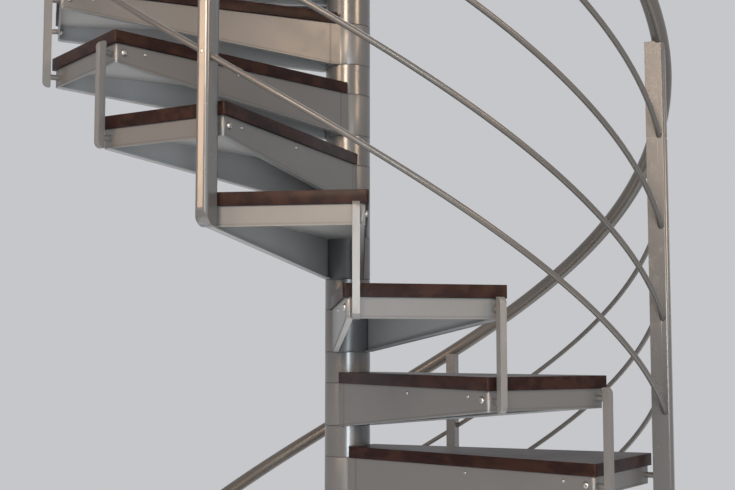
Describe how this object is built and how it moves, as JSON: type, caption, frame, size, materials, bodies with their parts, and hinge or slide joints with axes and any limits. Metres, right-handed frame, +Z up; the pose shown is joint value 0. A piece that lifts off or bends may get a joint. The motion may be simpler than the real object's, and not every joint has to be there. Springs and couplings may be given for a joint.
{
  "type": "spiral staircase",
  "caption": "Spiral staircase with timber treads on folded steel trays round a steel column, tie bars, posts, helical rods, a round handrail and a landing.",
  "frame": {"origin": "centre of the base plate's underside, on the column's axis at the lower floor", "axes": "+Z up along the column; the view in the picture looks along +Y; the flight climbs clockwise seen from above"},
  "size_m": [1.7822, 1.7822, 4.5283],
  "materials": {
    "steel": "satin grey",
    "rail_steel": "satin dark grey",
    "timber": "dark stain, satin"
  },
  "bodies": {
    "root": {"base_plate": "steel", "column_sleeves": "steel", "column_cap": "steel", "tread_board_1": "timber", "tread_board_2": "timber", "tread_board_3": "timber", "tread_board_4": "timber", "tread_board_5": "timber", "tread_board_6": "timber", "tread_board_7": "timber", "tread_board_8": "timber", "tread_board_9": "timber", "tread_board_10": "timber", "tread_board_11": "timber", "tread_board_12": "timber", "tread_board_13": "timber", "tread_board_14": "timber", "tread_board_15": "timber", "tread_board_16": "timber", "tread_tray_1": "steel", "tread_tray_2": "steel", "tread_tray_3": "steel", "tread_tray_4": "steel", "tread_tray_5": "steel", "tread_tray_6": "steel", "tread_tray_7": "steel", "tread_tray_8": "steel", "tread_tray_9": "steel", "tread_tray_10": "steel", "tread_tray_11": "steel", "tread_tray_12": "steel", "tread_tray_13": "steel", "tread_tray_14": "steel", "tread_tray_15": "steel", "tread_tray_16": "steel", "landing_board": "timber", "landing_tray": "steel", "tie_bars": "steel", "posts": "steel", "rod_1": "rail_steel", "rod_2": "rail_steel", "rod_3": "rail_steel", "rod_4": "rail_steel", "handrail": "rail_steel"}
  },
  "joints": []
}
